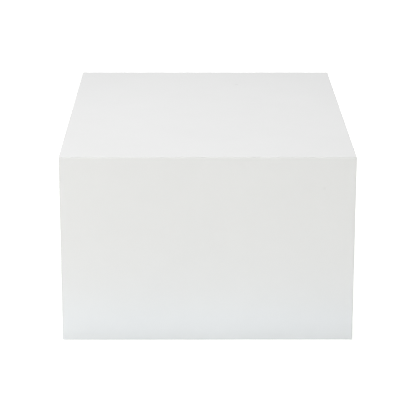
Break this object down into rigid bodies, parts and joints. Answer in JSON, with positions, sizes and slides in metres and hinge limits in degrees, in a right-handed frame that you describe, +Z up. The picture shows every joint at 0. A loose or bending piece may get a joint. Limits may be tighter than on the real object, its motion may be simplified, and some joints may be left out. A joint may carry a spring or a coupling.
{
  "type": "display plinth",
  "caption": "Low rectangular display plinth: mitred lacquered boards over a softwood frame, open underneath, on screw-adjustable levelling feet.",
  "frame": {"origin": "on the floor, under the middle of the plinth, with the feet at their usual setting", "axes": "+Z up, -Y towards the front, +X to the right as seen from the front"},
  "size_m": [0.6, 0.8, 0.395],
  "materials": {
    "lacquered_board": "white satin lacquer on medium density fibreboard",
    "birch_plywood": "sanded, unfinished",
    "softwood": "planed, unfinished",
    "zinc_plated_steel": "bright zinc plate",
    "moulded_nylon": "black, moulded",
    "rubber": "ribbed"
  },
  "bodies": {
    "carcass": {"top_panel": "lacquered_board", "front_panel": "lacquered_board", "back_panel": "lacquered_board", "left_panel": "lacquered_board", "right_panel": "lacquered_board", "corner_tongue_front_left": "birch_plywood", "corner_tongue_front_right": "birch_plywood", "corner_tongue_back_left": "birch_plywood", "corner_tongue_back_right": "birch_plywood", "top_tongue_front": "birch_plywood", "top_tongue_back": "birch_plywood", "top_tongue_left": "birch_plywood", "top_tongue_right": "birch_plywood", "corner_post_front_left": "softwood", "corner_post_front_right": "softwood", "corner_post_back_left": "softwood", "corner_post_back_right": "softwood", "top_rail_front": "softwood", "top_rail_back": "softwood", "top_rail_left": "softwood", "top_rail_right": "softwood", "base_rail_front": "softwood", "base_rail_back": "softwood", "base_rail_left": "softwood", "base_rail_right": "softwood", "foot_block_front_left": "softwood", "foot_block_front_right": "softwood", "foot_block_back_left": "softwood", "foot_block_back_right": "softwood", "tee_nut_front_left": "zinc_plated_steel", "tee_nut_front_right": "zinc_plated_steel", "tee_nut_back_left": "zinc_plated_steel", "tee_nut_back_right": "zinc_plated_steel", "rib_across": "birch_plywood", "rib_along": "birch_plywood", "post_screws": "zinc_plated_steel", "top_rail_screws": "zinc_plated_steel", "base_rail_screws": "zinc_plated_steel", "top_panel_screws": "zinc_plated_steel", "foot_block_screws": "zinc_plated_steel", "rib_screws": "zinc_plated_steel"},
    "foot_front_left": {"foot_pad_front_left": "moulded_nylon", "foot_grip_front_left": "rubber"},
    "stem_front_left": {"foot_stem_front_left": "zinc_plated_steel"},
    "foot_front_right": {"foot_pad_front_right": "moulded_nylon", "foot_grip_front_right": "rubber"},
    "stem_front_right": {"foot_stem_front_right": "zinc_plated_steel"},
    "foot_back_left": {"foot_pad_back_left": "moulded_nylon", "foot_grip_back_left": "rubber"},
    "stem_back_left": {"foot_stem_back_left": "zinc_plated_steel"},
    "foot_back_right": {"foot_pad_back_right": "moulded_nylon", "foot_grip_back_right": "rubber"},
    "stem_back_right": {"foot_stem_back_right": "zinc_plated_steel"}
  },
  "joints": [
    {"name": "foot_lift_front_left", "type": "slide", "parent": "carcass", "child": "foot_front_left", "axis": [0, 0, -1], "range_m": [-0.0025, 0.02]},
    {"name": "stem_turn_front_left", "type": "hinge", "parent": "foot_front_left", "child": "stem_front_left", "pos_m": [-0.237, -0.337, 0.03], "axis": [0, 0, -1], "range_deg": [-601, 4801]},
    {"name": "foot_lift_front_right", "type": "slide", "parent": "carcass", "child": "foot_front_right", "axis": [0, 0, -1], "range_m": [-0.0025, 0.02]},
    {"name": "stem_turn_front_right", "type": "hinge", "parent": "foot_front_right", "child": "stem_front_right", "pos_m": [0.237, -0.337, 0.03], "axis": [0, 0, -1], "range_deg": [-601, 4801]},
    {"name": "foot_lift_back_left", "type": "slide", "parent": "carcass", "child": "foot_back_left", "axis": [0, 0, -1], "range_m": [-0.0025, 0.02]},
    {"name": "stem_turn_back_left", "type": "hinge", "parent": "foot_back_left", "child": "stem_back_left", "pos_m": [-0.237, 0.337, 0.03], "axis": [0, 0, -1], "range_deg": [-601, 4801]},
    {"name": "foot_lift_back_right", "type": "slide", "parent": "carcass", "child": "foot_back_right", "axis": [0, 0, -1], "range_m": [-0.0025, 0.02]},
    {"name": "stem_turn_back_right", "type": "hinge", "parent": "foot_back_right", "child": "stem_back_right", "pos_m": [0.237, 0.337, 0.03], "axis": [0, 0, -1], "range_deg": [-601, 4801]}
  ],
  "couplings": [
    {"joint": "stem_turn_front_left", "follows": "foot_lift_front_left", "rad_per_m": 4188.8},
    {"joint": "stem_turn_front_right", "follows": "foot_lift_front_right", "rad_per_m": 4188.8},
    {"joint": "stem_turn_back_left", "follows": "foot_lift_back_left", "rad_per_m": 4188.8},
    {"joint": "stem_turn_back_right", "follows": "foot_lift_back_right", "rad_per_m": 4188.8}
  ]
}
